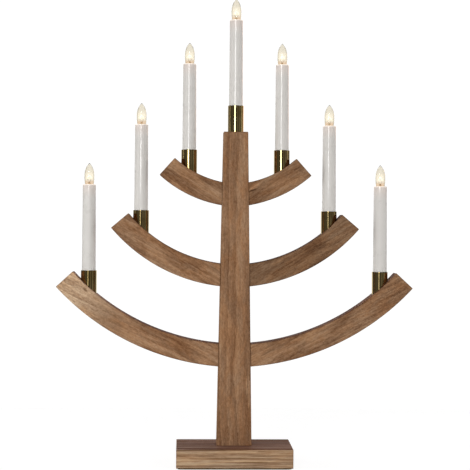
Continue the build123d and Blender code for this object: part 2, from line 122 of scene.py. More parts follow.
class Skin:
    """Grids of points gathered into one mesh, each grid with its own finish and heights."""

    def __init__(self):
        self.points, self.quads, self.finishes, self.heights = [], [], [], []
        self.count = 0

    def add(self, grid, heights, finish=0, closed_rows=False):
        """Join a grid of rows by columns into quads. Columns run round and close, rows if asked."""
        rows, columns = grid.shape[:2]
        starts = np.arange(rows if closed_rows else rows - 1)
        row, column = np.meshgrid(starts, np.arange(columns), indexing="ij")
        next_row, next_column = (row + 1) % rows, (column + 1) % columns
        corners = ((row, column), (row, next_column), (next_row, next_column), (next_row, column))
        quads = np.stack([i * columns + j for i, j in corners], -1).reshape(-1, 4) + self.count
        self.points.append(grid.reshape(-1, 3))
        self.quads.append(quads)
        self.finishes.append(np.full(len(quads), finish, np.int32))
        self.heights.append(np.broadcast_to(heights[:, None], (rows, columns)).reshape(-1))
        self.count += rows * columns

    def piece(self, name, finishes):
        """The mesh object: poles merged, normals outwards, smooth, its height as an attribute."""
        mesh = bpy.data.meshes.new(name)
        mesh.from_pydata(np.concatenate(self.points), [], np.concatenate(self.quads))
        height = mesh.attributes.new("height", "FLOAT", "POINT")
        height.data.foreach_set("value", np.concatenate(self.heights).astype(np.float32))
        mesh.polygons.foreach_set("material_index", np.concatenate(self.finishes))
        for finish in finishes:
            mesh.materials.append(finish)
        shell = bmesh.new()
        shell.from_mesh(mesh)
        bmesh.ops.remove_doubles(shell, verts=shell.verts, dist=MERGE_GAP)
        bmesh.ops.recalc_face_normals(shell, faces=shell.faces)
        shell.to_mesh(mesh)
        shell.free()
        mesh.shade_smooth()
        made = bpy.data.objects.new(name, mesh)
        bpy.context.scene.collection.objects.link(made)
        return made


def arc(centre, radius, start, end, steps=EDGE_STEPS):
    """Points of an arc in a profile: centre plus radius times cosine and sine of the angle."""
    angle = np.radians(np.linspace(start, end, steps))
    across, up = centre
    return np.stack([across + radius * np.cos(angle), up + radius * np.sin(angle)], -1)


def turned(profile, centre, steps=ROUND_STEPS, thread=None):
    """A profile of radius and height turned about an upright line.

    x = centre x + r cos(a), y = centre y + r sin(a), z = centre z + h, with a over a full turn.
    A thread has a depth at each point of the profile. It adds depth times cos(2 pi h / pitch - a)
    to r, which is a right-hand screw.
    """
    angle = np.linspace(0, 2 * np.pi, steps, endpoint=False)
    radius = np.repeat(profile[:, :1], steps, 1)
    height = np.repeat(profile[:, 1:], steps, 1)
    if thread is not None:
        radius = radius + thread[:, None] * np.cos(2 * np.pi * height / PITCH - angle)
    grid = np.stack([radius * np.cos(angle), radius * np.sin(angle), height], -1) * MM
    return grid + np.array(centre), profile[:, 1] * MM


def drawn(path, side, radius, centre, steps=WIRE_STEPS):
    """A round wire along a path: the path plus radius times (side cos a + other sin a).

    side is a unit vector square to the path at each point, and other is the path's direction
    crossed with it. Each end closes on the path's own end point.
    """
    ahead = np.gradient(path, axis=0)
    ahead /= np.linalg.norm(ahead, axis=1, keepdims=True)
    other = np.cross(ahead, side)
    angle = np.linspace(0, 2 * np.pi, steps, endpoint=False)
    ring = side[:, None] * np.cos(angle)[:, None] + other[:, None] * np.sin(angle)[:, None]
    grid = path[:, None] + radius * ring
    first, last = path[None, :1].repeat(steps, 1), path[None, -1:].repeat(steps, 1)
    grid = np.concatenate([first, grid, last])
    heights = np.concatenate([path[:1, 2], path[:, 2], path[-1:, 2]])
    return grid * MM + np.array(centre), heights * MM


def cup_profile():
    """Half section of a brass cup: floor, eased foot, straight wall, rounded rim, bore."""
    shoulder = CUP_HEIGHT - CUP_EDGE
    return np.concatenate([
        [(0.0, 0.0)],
        arc((CUP_RADIUS - CUP_FOOT_EDGE, CUP_FOOT_EDGE), CUP_FOOT_EDGE, -90, 0),
        [(CUP_RADIUS, CUP_WALL_FOOT), (CUP_RADIUS, shoulder - CUP_WALL_DROP)],
        arc((CUP_RADIUS - CUP_EDGE, shoulder), CUP_EDGE, 0, 90, CUP_RIM_STEPS),
        arc((CUP_BORE + CUP_EDGE, shoulder), CUP_EDGE, 90, 180, CUP_RIM_STEPS),
        [(CUP_BORE, shoulder - CUP_WALL_DROP), (CUP_BORE, CUP_FLOOR), (0.0, CUP_FLOOR)],
    ])


def tube_profile():
    """Half section of a candle tube, a closed loop: tapered wall, rounded rim, lip and bore."""
    shoulder = TUBE_RIM - RIM_ROUND
    wall = np.linspace((TUBE_FOOT_RADIUS, TUBE_FOOT), (TUBE_RIM_RADIUS, shoulder), TUBE_STEPS)
    mouth = (MOUTH_RADIUS + MOUTH_ROUND, TUBE_RIM - MOUTH_ROUND)
    lip = TUBE_RIM - LIP
    return np.concatenate([
        wall[:-1],
        arc((TUBE_RIM_RADIUS - RIM_ROUND, shoulder), RIM_ROUND, 0, 90),
        arc(mouth, MOUTH_ROUND, 90, 180, MOUTH_STEPS),
        [(MOUTH_RADIUS, lip), (TUBE_BORE, lip), (TUBE_BORE, TUBE_FOOT)],
    ])


def flame_side(inset, tip):
    """One side of the bulb's glass from its neck to its tip.

    The throat is an arc upright at the belly, with radius (d d + v v) / 2d for a point d in and v
    below. The flame is a cubic curve from the belly to the tip on the axis, drawn by two guide
    points.
    """
    belly = np.array([BELLY_RADIUS - inset, TUBE_RIM + BELLY_RISE])
    throat = np.array([THROAT_RADIUS - inset, TUBE_RIM])
    inward, below = belly - throat
    bend = (inward ** 2 + below ** 2) / (2 * inward)
    start = -math.degrees(math.asin(below / bend))
    t = np.linspace(0, 1, FLAME_STEPS)[:, None]
    shoulder, end = np.array([TIP_SHOULDER - inset, tip - TIP_DROP]), np.array([0.0, tip])
    guides = (belly, belly + (0, SHOULDER_RISE), shoulder, end)
    weights = ((1 - t) ** 3, 3 * t * (1 - t) ** 2, 3 * t ** 2 * (1 - t), t ** 3)
    flame = sum(weight * guide for weight, guide in zip(weights, guides))
    flame[-1, 0] = 0.0
    return np.concatenate([
        [(NECK_RADIUS - inset, NECK_FOOT), (NECK_RADIUS - inset, CAP_TOP)],
        arc((belly[0] - bend, belly[1]), bend, start, 0, THROAT_STEPS),
        flame[1:],
    ])


def glass_profile():
    """Half section of the bulb's glass, a closed loop: outer side up, inner side back down."""
    tip = TUBE_RIM + TIP_RISE
    return np.concatenate([flame_side(0.0, tip), flame_side(GLASS_WALL, tip - SOLID_TIP)[::-1]])


def cap_section():
    """Half section of the screw cap and the thread's depth at each point, faded at both ends."""
    mean = CAP_RADIUS - THREAD_DEPTH
    collar = CAP_RADIUS - COLLAR_INSET
    height = np.linspace(CAP_FOOT + THREAD_RISE, CAP_TOP - THREAD_DROP, CAP_STEPS)
    from_foot, from_top = height - CAP_FOOT - THREAD_RISE, CAP_TOP - THREAD_FADE - height
    fade = np.clip(np.minimum(from_foot, from_top) / THREAD_FADE, 0, 1)
    foot = [(EYE_RADIUS, CAP_FOOT + EYE_LIFT), (EYE_EDGE, CAP_FOOT),
            (mean - TURN_START, CAP_FOOT), (mean - TURN_END, CAP_FOOT + TURN_LIFT)]
    profile = np.concatenate([
        foot,
        np.stack([np.full_like(height, mean), height], -1),
        [(collar, CAP_TOP - COLLAR_HEIGHT), (collar, CAP_TOP), (CAP_BORE, CAP_TOP)],
        [(CAP_BORE, CAP_FOOT + CAP_FLOOR), (EYE_RADIUS, CAP_FOOT + CAP_FLOOR_EYE)],
    ])
    thread = np.zeros(len(profile))
    thread[len(foot):len(foot) + len(height)] = THREAD_DEPTH * fade
    return profile, thread


def filament_grids(centre):
    """Stem, two lead wires and the coil of a filament, as grids with the number of their finish.

    The coil is a helix about an arch between the leads: the arch plus its radius times
    (n cos a + y sin a), with n square to the arch in its own plane.
    """
    depth = np.array([0.0, 1.0, 0.0])
    stem_foot, dome = NECK_FOOT + STEM_LIFT, TUBE_RIM + STEM_RISE - DOME_DROP
    flare = (FLARE_MIDDLE, NECK_FOOT + FLARE_RISE)
    stem = np.concatenate([
        [(0.0, stem_foot), (FLARE_RADIUS, stem_foot)],
        arc(flare, FLARE_BEND, FLARE_START, FLARE_END, FLARE_STEPS),
        [(STEM_RADIUS, TUBE_RIM), (STEM_RADIUS, dome)],
        arc((0.0, dome), STEM_RADIUS, DOME_START, 90, DOME_STEPS),
    ])
    grids = [(*turned(stem, centre, STEM_STEPS), STEM_FINISH)]
    t = np.linspace(0, 1, LEAD_STEPS)
    for side in (-1, 1):
        across = side * (LEAD_START + (LEAD_SPREAD - LEAD_START) * t ** LEAD_BOW)
        path = np.stack([across, 0 * t, TUBE_RIM + LEAD_RISE + (COIL_FOOT - LEAD_RISE) * t], -1)
        square = np.repeat([depth], len(t), 0)
        grids.append((*drawn(path, square, LEAD_RADIUS, centre), LEAD_FINISH))
    t = np.linspace(0, 1, COIL_TURNS * COIL_TURN_STEPS)
    arch = np.pi * (1 - t)
    rise = COIL_TOP - COIL_FOOT
    height = TUBE_RIM + COIL_FOOT + rise * np.sin(arch)
    middle = np.stack([LEAD_SPREAD * np.cos(arch), 0 * t, height], -1)
    square = np.stack([rise * np.cos(arch), 0 * t, LEAD_SPREAD * np.sin(arch)], -1)
    square /= np.linalg.norm(square, axis=1, keepdims=True)
    turn = 2 * np.pi * COIL_TURNS * t
    out = square * np.cos(turn)[:, None] + depth * np.sin(turn)[:, None]
    coil = drawn(middle + COIL_RADIUS * out, out, COIL_WIRE, centre, COIL_WIRE_STEPS)
    return grids + [(*coil, COIL_FINISH)]


def felt_grid():
    """A felt sheet with eased corners and a soft edge that the knife left a little ragged.

    x = half width times s c and y = half depth times s t. The outline is |c|^n + |t|^n = 1, and
    small waves along the cut draw it in. s grows from the middle of the underside to the half-round
    edge, where z rises by the felt's thickness, and shrinks back to the middle of the top.
    """
    low, high = (np.array(corner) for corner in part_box("base_felt"))
    half, centre = (high - low) / 2, (high + low) / 2
    angle = np.linspace(0, 2 * np.pi, FELT_STEPS, endpoint=False)
    outline = np.stack([np.cos(angle), np.sin(angle)], -1)
    outline /= (np.abs(outline) ** FELT_POWER).sum(-1, keepdims=True) ** (1 / FELT_POWER)
    fine, broad = FELT_WAVES
    waves = np.sin(fine * angle) * np.sin(broad * angle + FELT_PHASE)
    outline *= 1 - FELT_CUT * (1 + waves)[:, None]
    bend = np.linspace(-np.pi / 2, np.pi / 2, FELT_EDGE_STEPS)
    flat = np.array(FELT_RINGS)
    share = np.concatenate([flat, 1 - FELT_EDGE + FELT_EDGE * np.cos(bend), flat[::-1]])
    rise = np.concatenate([0 * flat, 0.5 + 0.5 * np.sin(bend), 0 * flat + 1])
    across = share[:, None, None] * outline
    up = np.broadcast_to(rise[:, None, None], (len(rise), FELT_STEPS, 1))
    unit = np.concatenate([across, up], -1)
    return unit * (*half[:2], 2 * half[2]) + (*centre[:2], low[2]), rise * 2 * half[2]


def feed(tree, socket, value):
    """Link another node's output to an input socket, or set the socket to a constant."""
    if isinstance(value, bpy.types.NodeSocket):
        tree.links.new(value, socket)
    else:
        socket.default_value = value


def place(tree, kind, inputs=None, **settings):
    """Add a node, set its settings and feed its inputs."""
    made = tree.nodes.new(kind)
    for name, value in settings.items():
        setattr(made, name, value)
    for name, value in (inputs or {}).items():
        feed(tree, made.inputs[name], value)
    return made


def maths(tree, operation, first, second):
    """One sum, product or other operation on two values."""
    return place(tree, "ShaderNodeMath", {0: first, 1: second}, operation=operation).outputs[0]


def vector_maths(tree, operation, inputs, output="Vector"):
    """One operation on positions or directions."""
    return place(tree, "ShaderNodeVectorMath", inputs, operation=operation).outputs[output]


def mixed(tree, factor, first, second, blend="MIX"):
    """First colour turning into the second where the factor is high."""
    inputs = {0: factor, 6: first, 7: second}
    return place(tree, "ShaderNodeMix", inputs, data_type="RGBA", blend_type=blend).outputs[2]


def ranged(tree, value, low, high, low_out=0.0, high_out=1.0):
    """A value spread smoothly from one range to another."""
    inputs = {"Value": value, "From Min": low, "From Max": high,
              "To Min": low_out, "To Max": high_out}
    return place(tree, "ShaderNodeMapRange", inputs, interpolation_type="SMOOTHSTEP").outputs[0]


def noise(tree, vector, stretch, detail=2.0, roughness=0.5, distortion=0.0):
    """Cloudy noise with its own number of clouds per metre along each axis."""
    scaled = vector_maths(tree, "MULTIPLY", {0: vector, 1: stretch})
    inputs = {"Vector": scaled, "Scale": 1.0, "Detail": detail, "Roughness": roughness,
              "Distortion": distortion}
    return place(tree, "ShaderNodeTexNoise", inputs).outputs["Fac"]


def shared_effect(name, outputs, amounts=()):
    """An empty shared effect that reads a position and its own amounts, and gives named values."""
    tree = bpy.data.node_groups.new(name, "ShaderNodeTree")
    tree.interface.new_socket("Vector", in_out="INPUT", socket_type="NodeSocketVector")
    for label in amounts:
        tree.interface.new_socket(label, in_out="INPUT", socket_type="NodeSocketFloat")
    for label in outputs:
        tree.interface.new_socket(label, in_out="OUTPUT", socket_type="NodeSocketFloat")
    given, result = tree.nodes.new("NodeGroupInput"), tree.nodes.new("NodeGroupOutput")
    return tree, given.outputs, result.inputs


def board_grain():
    """Grain of a sawn board that runs along X.

    Figure is a half plus each of growth rings, streaks, mottle and broad tone less a half, times
    its amount. Pores are short dark dashes, Warmth is the redder heartwood and Fibres the raised
    grain.
    """
    parts = ("Rings", "Streaks", "Mottle", "Tone")
    tree, given, result = shared_effect(
        "board_grain", ("Figure", "Pores", "Warmth", "Fibres"), parts)
    spot = given["Vector"]
    rings = place(tree, "ShaderNodeTexWave", {
        "Vector": vector_maths(tree, "MULTIPLY", {0: spot, 1: (0.09, 1.0, 1.0)}),
        "Scale": 46.0, "Distortion": 9.0,
        "Detail": 4.0, "Detail Scale": 0.8, "Detail Roughness": 0.6,
    }, wave_type="RINGS", rings_direction="X", wave_profile="SAW").outputs["Fac"]
    streaks = noise(tree, spot, (30.0, 560.0, 560.0), detail=5.0, roughness=0.65, distortion=0.4)
    streaks = ranged(tree, streaks, 0.3, 0.7)
    mottle = noise(tree, spot, (240.0, 520.0, 520.0), detail=5.0, roughness=0.7, distortion=0.5)
    mottle = ranged(tree, mottle, 0.32, 0.68)
    tone = noise(tree, spot, (14.0, 60.0, 60.0), detail=3.0, roughness=0.6, distortion=0.5)
    tone = ranged(tree, tone, 0.3, 0.7)
    figure = 0.5
    for label, part in zip(parts, (rings, streaks, mottle, tone)):
        swing = maths(tree, "MULTIPLY", maths(tree, "SUBTRACT", part, 0.5), given[label])
        figure = maths(tree, "ADD", figure, swing)
    pores = noise(tree, spot, (130.0, 1500.0, 1500.0), detail=1.0)
    warmth = noise(tree, spot, (22.0, 75.0, 75.0), detail=4.0, roughness=0.65, distortion=0.8)
    feed(tree, result["Figure"], figure)
    feed(tree, result["Pores"], ranged(tree, pores, 0.58, 0.7))
    feed(tree, result["Warmth"], ranged(tree, warmth, 0.38, 0.66))
    feed(tree, result["Fibres"], streaks)
    return tree


def rubbed_surface():
    """Handling marks: soft smudges, and long fine hairlines that run upright."""
    tree, given, result = shared_effect("rubbed_surface", ("Smudges", "Hairlines"))
    smudges = noise(tree, given["Vector"], (70.0, 70.0, 70.0), detail=4.0, roughness=0.6)
    hairlines = noise(tree, given["Vector"], (900.0, 900.0, 6.0), detail=3.0, roughness=0.7)
    feed(tree, result["Smudges"], smudges)
    feed(tree, result["Hairlines"], hairlines)
    return tree


def edges_and_painted_top_shade():
    """Darker edges of a board, and painted shade on its upward faces.

    Edge is high where the surface's own normal leaves the one that a small rounding would give, and
    is partly stain taken up by the eased edges and partly painted edge shade. The top shade output
    is high where that own normal points up, and is painted shade only.
    """
    tree, given, result = shared_effect("edges_and_painted_top_shade", ("Edge", "Top_Shade"))
    uneven = ranged(tree, noise(tree, given["Vector"], (240.0, 240.0, 240.0)), 0.2, 0.6, 0.6, 1.0)
    rounded = place(tree, "ShaderNodeBevel", {"Radius": 0.002}, samples=6).outputs[0]
    own = place(tree, "ShaderNodeNewGeometry").outputs["True Normal"]
    agreement = vector_maths(tree, "DOT_PRODUCT", {0: rounded, 1: own}, "Value")
    edge = ranged(tree, agreement, 0.995, 0.86)
    upward = place(tree, "ShaderNodeSeparateXYZ", {0: own}).outputs["Z"]
    # Darker edges, partly stain and partly painted edge shade; upward faces get painted shade only
    feed(tree, result["Edge"], maths(tree, "MULTIPLY", edge, uneven))
    feed(tree, result["Top_Shade"], ranged(tree, upward, 0.25, 0.6))
    return tree


GRAIN = board_grain()
RUBBED = rubbed_surface()
EDGES_AND_TOP_SHADE = edges_and_painted_top_shade()


class Finish:
    """One material with its Principled shader and the node tree it is built in."""

    def __init__(self, name, **sockets):
        self.material = bpy.data.materials.new(name)
        self.material.use_nodes = True
        self.tree = self.material.node_tree
        self.shader = self.tree.nodes["Principled BSDF"]
        self.where = place(self.tree, "ShaderNodeTexCoord").outputs["Object"]
        for label, value in sockets.items():
            self.set(label.replace("_", " "), value)

    def set(self, label, value):
        """Feed one socket of the shader."""
        feed(self.tree, self.shader.inputs[label], value)

    def effect(self, group, vector=None, amounts=None):
        """Place a shared effect with its own amounts and give back its outputs."""
        inputs = {"Vector": self.where if vector is None else vector, **(amounts or {})}
        made = place(self.tree, "ShaderNodeGroup", node_tree=group)
        for label, value in inputs.items():
            feed(self.tree, made.inputs[label], value)
        return made.outputs

    def along_grain(self, angle, shift=(0.0, 0.0, 0.0), share=1.0):
        """Object coordinates turned about Y so that X runs along the grain, shifted within the log.

        A share below one draws the grain out along X, on a board that lies along it.
        """
        inputs = {"Vector": self.where, "Location": shift, "Rotation": (0.0, angle, 0.0),
                  "Scale": (share, 1.0, 1.0)}
        return place(self.tree, "ShaderNodeMapping", inputs).outputs[0]

    def patch(self, middle, angle, size):
        """A soft oval in the front face: one at its middle, zero past its half length and width."""
        inputs = {"Vector": self.where, "Location": (middle[0], 0.0, middle[1]),
                  "Rotation": (0.0, -angle, 0.0), "Scale": (size[0], 1.0, size[1])}
        spot = place(self.tree, "ShaderNodeMapping", inputs, vector_type="TEXTURE").outputs[0]
        return ranged(self.tree, vector_maths(self.tree, "LENGTH", {0: spot}, "Value"), 1.0, 0.45)

    def between(self, low, high):
        """Zero at the first height above the candle's seat, one at the other, in millimetres."""
        height = place(self.tree, "ShaderNodeAttribute", attribute_name="height").outputs["Fac"]
        return ranged(self.tree, height, low * MM, high * MM)

    def bump(self, height, distance):
        """Surface relief from a height."""
        inputs = {"Height": height, "Distance": distance}
        self.set("Normal", place(self.tree, "ShaderNodeBump", inputs).outputs[0])


# Stained wood: where the figure's colours lie, what each stain multiplies the colour by, and the
# painted shade of upward faces and the stain plus painted shade of edges
DARK_STOP, MIDDLE_STOP, LIGHT_STOP = 0.15, 0.5, 0.85
HEARTWOOD, SAPWOOD = (1.07, 0.96, 0.84, 1.0), (1.95, 2.4, 2.8, 1.0)
# Painted shade on upward faces, and stain plus painted shade on edges
PAINTED_TOP_SHADE, EDGE_STAIN_AND_SHADE = (0.72, 0.6, 0.68, 1.0), (0.36, 0.34, 0.33, 1.0)
PORE_SHARE, SAPWOOD_SWAY = 0.28, 0.05


def stained_wood(name, angle, shift, colours, amounts, sapwood=None, marks=(), share=1.0):
    """Brown stained board: its grain runs at an angle from X in the front face.

    The figure runs from dark over middle to light, with warmer patches, dark pores, darker edges
    that are partly stain and partly painted edge shade, and painted shade on upward faces. Where the
    board has them, it gets paler sapwood between two distances along the grain, and marks: a tint,
    the middle, the angle and the half sizes of each. A share below one gives longer grain.
    """
    dark, middle, light = colours
    finish = Finish(name, Specular_IOR_Level=0.06)
    tree = finish.tree
    grain = finish.effect(GRAIN, finish.along_grain(angle, shift, share), amounts)
    ramp = place(tree, "ShaderNodeValToRGB", {0: grain["Figure"]})
    stops = ramp.color_ramp.elements
    stops[0].position, stops[0].color = DARK_STOP, dark
    stops[1].position, stops[1].color = LIGHT_STOP, light
    stops.new(MIDDLE_STOP).color = middle
    colour = mixed(tree, grain["Warmth"], ramp.outputs[0], HEARTWOOD, "MULTIPLY")
    if sapwood:
        along = place(tree, "ShaderNodeSeparateXYZ", {0: finish.along_grain(angle)}).outputs[0]
        edge = maths(tree, "ADD", along, maths(tree, "MULTIPLY", grain["Figure"], SAPWOOD_SWAY))
        colour = mixed(tree, ranged(tree, edge, *sapwood), colour, SAPWOOD, "MULTIPLY")
    for mark_tint, mark_middle, turn, size in marks:
        mark = finish.patch(mark_middle, turn, size)
        colour = mixed(tree, mark, colour, mark_tint, "MULTIPLY")
    colour = mixed(tree, maths(tree, "MULTIPLY", grain["Pores"], PORE_SHARE), colour, dark)
    # Painted shade on upward faces, and edges darkened by stain plus painted edge shade
    worn = finish.effect(EDGES_AND_TOP_SHADE)
    colour = mixed(tree, worn["Top_Shade"], colour, PAINTED_TOP_SHADE, "MULTIPLY")
    finish.set("Base Color", mixed(tree, worn["Edge"], colour, EDGE_STAIN_AND_SHADE, "MULTIPLY"))
    finish.set("Roughness", ranged(tree, grain["Figure"], 0.1, 0.9, 0.78, 0.6))
    finish.bump(maths(tree, "SUBTRACT", grain["Fibres"], grain["Pores"]), WOOD_RELIEF)
    return finish.material


def polished_brass(name, bright, dull, roughness):
    """Polished brass with faint upright hairlines and duller smudges."""
    finish = Finish(name, Metallic=1.0)
    tree = finish.tree
    rubbed = finish.effect(RUBBED)
    smudge = ranged(tree, rubbed["Smudges"], 0.4, 0.75)
    finish.set("Base Color", mixed(tree, smudge, bright, dull))
    lines = ranged(tree, rubbed["Hairlines"], 0.3, 0.7, roughness, roughness * 1.5)
    finish.set("Roughness", maths(tree, "ADD", lines, maths(tree, "MULTIPLY", smudge, 0.05)))
    finish.bump(rubbed["Hairlines"], POLISHED_RELIEF)
    return finish.material


def candle_plastic():
    """Glossy off-white tube, uneven in its gloss, with painted bulb light: a warmer colour and faint
    glow near the bulb, and a glow at its rim.
    """
    finish = Finish("candle_plastic", Coat_Weight=0.7, Coat_Roughness=0.05, Emission_Strength=1.0)
    tree = finish.tree
    rubbed = finish.effect(RUBBED)
    # Painted bulb light: warmer colour and a faint warm glow towards the top, a brighter painted
    # glow at the rim
    bulb_light = finish.between(*TUBE_BULB_LIGHT)
    plain = mixed(tree, rubbed["Smudges"], tint(203, 200, 195), tint(209, 206, 202))
    finish.set("Base Color", mixed(tree, bulb_light, plain, tint(213, 204, 197)))
    finish.set("Roughness", ranged(tree, rubbed["Smudges"], 0.3, 0.7, 0.26, 0.36))
    glow = mixed(tree, bulb_light, BLACK, (0.022, 0.009, 0.004, 1.0))
    rim = finish.between(*RIM_GLOW)
    finish.set("Emission Color", mixed(tree, rim, glow, (0.5, 0.44, 0.37, 1.0)))
    finish.bump(rubbed["Smudges"], CANDLE_RELIEF)
    return finish.material


def lit_glass():
    """Clear bulb glass: glowing round the filament, tan with a painted warm reflection and glow at
    the neck, darker where seen edge on.
    """
    finish = Finish("lit_glass", Transmission_Weight=1.0, IOR=1.5, Metallic=0.0,
                    Emission_Strength=0.035)
    tree = finish.tree
    rubbed = finish.effect(RUBBED)
    # Painted warm reflection at the neck: a tan colour, and a faint orange glow
    neck = finish.between(*NECK_PAINTED_GLOW)
    glow = maths(tree, "MULTIPLY", finish.between(*GLOW_START), finish.between(*GLOW_END))
    clear = mixed(tree, glow, tint(244, 240, 230), tint(249, 245, 234))
    clear = mixed(tree, neck, clear, tint(241, 227, 210))
    facing = place(tree, "ShaderNodeLayerWeight", {"Blend": 0.5}).outputs["Facing"]
    edge_on = ranged(tree, facing, 0.2, 0.65)
    finish.set("Base Color", mixed(tree, edge_on, clear, tint(220, 213, 196)))
    haze = ranged(tree, glow, 0.0, 1.0, 0.02, 0.16)
    smudge = maths(tree, "MULTIPLY", rubbed["Smudges"], 0.03)
    finish.set("Roughness", maths(tree, "ADD", haze, smudge))
    # Emission: the glow round the filament, and a painted orange glow at the neck
    core = mixed(tree, glow, tint(206, 150, 104), tint(255, 244, 222))
    lit = maths(tree, "ADD", glow, maths(tree, "MULTIPLY", neck, 0.35))
    finish.set("Emission Color", mixed(tree, lit, BLACK, core))
    return finish.material


def glowing_coil():
    """White-hot filament wire, a little redder at its ends."""
    finish = Finish("glowing_coil", Base_Color=tint(120, 110, 100), Metallic=1.0, Roughness=0.5,
                    Emission_Strength=1.7)
    hot = finish.between(*COIL_HEAT)
    colour = mixed(finish.tree, hot, tint(255, 204, 150), tint(255, 242, 218))
    finish.set("Emission Color", colour)
    return finish.material


def stem_glass():
    """Pressed glass of the filament's stem, faintly cloudy."""
    finish = Finish("stem_glass", Transmission_Weight=1.0, IOR=1.5, Metallic=0.0)
    smudges = finish.effect(RUBBED)["Smudges"]
    colour = mixed(finish.tree, smudges, tint(235, 225, 205), tint(215, 190, 150))
    finish.set("Base Color", colour)
    finish.set("Roughness", ranged(finish.tree, smudges, 0.3, 0.7, 0.05, 0.2))
    return finish.material


def plain_metal(name, colour, worn, low, high):
    """Drawn or turned metal with hairlines and worn smudges, between two roughnesses."""
    finish = Finish(name, Metallic=1.0)
    rubbed = finish.effect(RUBBED)
    finish.set("Base Color", mixed(finish.tree, rubbed["Smudges"], colour, worn))
    finish.set("Roughness", ranged(finish.tree, rubbed["Hairlines"], 0.25, 0.75, low, high))
    finish.bump(rubbed["Hairlines"], METAL_RELIEF)
    return finish.material


def moulded(name, colour, worn, low, high):
    """Moulded plastic or rubber with a fine dulled skin, between two roughnesses."""
    finish = Finish(name)
    rubbed = finish.effect(RUBBED)
    finish.set("Base Color", mixed(finish.tree, rubbed["Smudges"], colour, worn))
    finish.set("Roughness", ranged(finish.tree, rubbed["Smudges"], 0.3, 0.7, low, high))
    finish.bump(rubbed["Hairlines"], MOULDED_RELIEF)
    return finish.material


def pressed_felt():
    """Short-haired felt: matted fibres in two shades."""
    finish = Finish("pressed_felt", Specular_IOR_Level=0.05)
    tree = finish.tree
    fibres = noise(tree, finish.where, (1400.0, 1400.0, 1400.0),
                   detail=6.0, roughness=0.7, distortion=1.5)
    clumps = noise(tree, finish.where, (160.0, 160.0, 160.0))
    share = ranged(tree, maths(tree, "MULTIPLY", fibres, clumps), 0.12, 0.4)
    finish.set("Base Color", mixed(tree, share, tint(30, 24, 20), tint(62, 51, 42)))
    finish.set("Roughness", ranged(tree, fibres, 0.2, 0.8, 0.85, 1.0))
    finish.bump(fibres, FELT_RELIEF)
    return finish.material


def dress(node, material):
    """Give one solid's object a finish in every material slot."""
    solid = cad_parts[node]
    for slot in solid.material_slots:
        slot.material = material


# Wooden pieces: dark, middle and light of each stain, how strong each part of the grain is, how the
# grain runs, how far the base's is drawn out, and each piece's own cut from the log
BROWN = (tint(100, 71, 50), tint(136, 104, 78), tint(164, 132, 103))
BASE_BROWN = (tint(116, 91, 69), tint(152, 125, 100), tint(186, 162, 134))
PALE = (tint(178, 146, 104), tint(204, 174, 130), tint(222, 198, 158))
POST_GRAIN = {"Rings": 0.24, "Streaks": 0.16, "Mottle": 0.28, "Tone": 0.25}
ARM_GRAIN = {"Rings": 0.2, "Streaks": 0.2, "Mottle": 0.3, "Tone": 0.45}
BASE_GRAIN = {"Rings": 0.45, "Streaks": 0.75, "Mottle": 0.2, "Tone": 0.15}
UPRIGHT, LEVEL, DOWEL_ANGLE = math.pi / 2, 0.0, 0.5
BASE_DRAW = 0.35
POST_CUT, BASE_CUT = (0.31, 0.043, 0.021), (0.11, 0.02, 0.075)
COVER_CUT, DOWEL_CUT = (0.7, 0.08, 0.01), (0.9, 0.01, 0.03)

# Arms: how much of its box's slope the grain takes, its cut from the log, shade, sapwood and marks
ARM_LEAN = 0.9
CUT_START, CUT_STEP = (0.0, 0.031, 0.05), (0.37, 0.017, -0.013)
ARM_SHADES = {"lower_left": 1.03, "lower_right": 0.92, "middle_left": 0.98,
              "middle_right": 0.66, "upper_left": 0.95, "upper_right": 0.84}
ARM_SAPWOOD = {"lower_left": (-0.17, -0.26)}
ARM_MARKS = {
    "lower_left": [((0.6, 0.55, 0.5, 1.0), (-0.1915, 0.2247), -0.8, (0.0048, 0.0024))],
    "upper_right": [((1.35, 1.32, 1.28, 1.0), (0.0245, 0.3585), 0.5, (0.0105, 0.0042)),
                    ((0.45, 0.42, 0.4, 1.0), (0.022, 0.3531), 0.33, (0.0066, 0.0016))],
}

dress("post", stained_wood("post_wood", UPRIGHT, POST_CUT, BROWN, POST_GRAIN))
dress("base_block", stained_wood(
    "base_wood", LEVEL, BASE_CUT, BASE_BROWN, BASE_GRAIN, share=BASE_DRAW))
for number, arm in enumerate(ARMS):
    low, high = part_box(f"arm_{arm}")
    slope = math.atan2(high.z - low.z, high.x - low.x) * ARM_LEAN
    slope = -slope if arm.endswith("left") else slope
    cut = [start + step * number for start, step in zip(CUT_START, CUT_STEP)]
    colours = [shaded(colour, ARM_SHADES[arm]) for colour in BROWN]
    dress(f"arm_{arm}", stained_wood(
        f"arm_wood_{arm}", slope, cut, colours, ARM_GRAIN,
        ARM_SAPWOOD.get(arm), ARM_MARKS.get(arm, ())))
dress("groove_covers", stained_wood("cover_wood", UPRIGHT, COVER_CUT, BROWN, POST_GRAIN))
dress("arm_dowels", stained_wood("dowel_wood", DOWEL_ANGLE, DOWEL_CUT, PALE, ARM_GRAIN))

